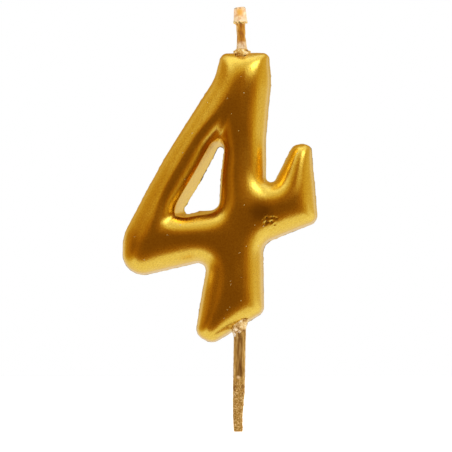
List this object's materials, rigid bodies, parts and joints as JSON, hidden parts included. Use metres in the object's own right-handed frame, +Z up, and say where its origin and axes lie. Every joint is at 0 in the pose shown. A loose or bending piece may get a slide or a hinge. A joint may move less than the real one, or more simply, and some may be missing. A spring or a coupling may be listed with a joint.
{
  "type": "number birthday candle",
  "caption": "Moulded wax numeral four with a gold lacquer coat, a short cotton wick on top and a square pick below for standing it in a cake.",
  "frame": {"origin": "on the pick's axis, where the pick leaves the wax under the numeral", "axes": "+Z up along the pick and the wick, -Y out of the front of the numeral, +X to the right as the numeral is read"},
  "size_m": [0.0375, 0.0092, 0.0809],
  "materials": {
    "wax": "smooth paraffin wax",
    "gold_lacquer": "metallic gold lacquer, satin gloss",
    "cotton": "braided cotton",
    "waxed_cotton": "braided cotton soaked in wax, with gold overspray",
    "bead_wax": "pale dull wax",
    "pick_plastic": "uneven gold paint over plastic"
  },
  "bodies": {
    "numeral": {"wax_body": "wax", "lacquer_coat": "gold_lacquer", "wick_core": "cotton", "wick_collar": "gold_lacquer", "pick": "pick_plastic", "pick_bead": "bead_wax"},
    "free_wick": {"wick_tip": "waxed_cotton", "wick_bead": "bead_wax"}
  },
  "joints": [
    {"name": "wick_bend", "type": "hinge", "parent": "numeral", "child": "free_wick", "pos_m": [0.0003, 0, 0.054], "axis": [0, 1, 0], "range_deg": [-60, 60]}
  ]
}
